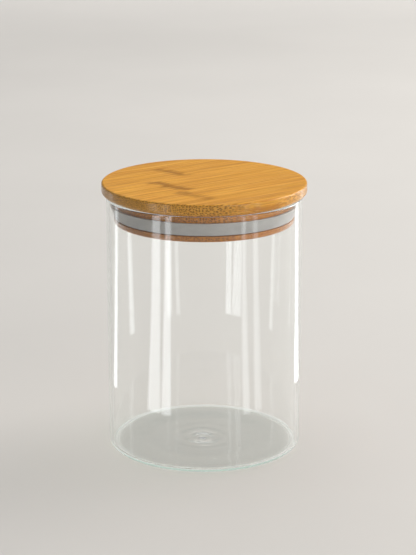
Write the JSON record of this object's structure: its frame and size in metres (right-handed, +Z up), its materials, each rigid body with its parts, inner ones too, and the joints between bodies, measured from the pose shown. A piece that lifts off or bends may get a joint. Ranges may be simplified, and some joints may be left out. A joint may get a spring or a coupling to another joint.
{
  "type": "lidded glass canister",
  "caption": "Straight-sided round glass canister with a bamboo plug lid and a flared silicone seal.",
  "frame": {"origin": "centre of the base, on the surface the canister stands on", "axes": "+Z up along the jar's axis, +X to the right and +Y away from someone facing the front"},
  "size_m": [0.1046, 0.1046, 0.1392],
  "materials": {
    "glass": "clear polished borosilicate, faintly green at the edges",
    "silicone": "translucent frosty white silicone, satin",
    "bamboo_face": "sanded and lacquered bamboo, satin",
    "bamboo_plug": "turned bamboo, satin"
  },
  "bodies": {
    "jar": {"glass_jar": "glass"},
    "seal": {"silicone_seal": "silicone"},
    "lid": {"disc_strip_1": "bamboo_face", "disc_strip_2": "bamboo_face", "disc_strip_3": "bamboo_face", "disc_strip_4": "bamboo_face", "disc_strip_5": "bamboo_face", "neck_strip_1": "bamboo_plug", "neck_strip_2": "bamboo_plug", "neck_strip_3": "bamboo_plug", "neck_strip_4": "bamboo_plug", "core_strip_1": "bamboo_plug", "core_strip_2": "bamboo_plug", "core_strip_3": "bamboo_plug", "core_strip_4": "bamboo_plug", "foot_strip_1": "bamboo_plug", "foot_strip_2": "bamboo_plug", "foot_strip_3": "bamboo_plug", "foot_strip_4": "bamboo_plug"}
  },
  "joints": [
    {"name": "lid_lift", "type": "slide", "parent": "jar", "child": "seal", "axis": [0, 0, 1], "range_m": [0, 0.1]},
    {"name": "lid_turn", "type": "hinge", "parent": "seal", "child": "lid", "pos_m": [0, 0, 0.1263], "axis": [0, 0, 1], "continuous": true}
  ]
}
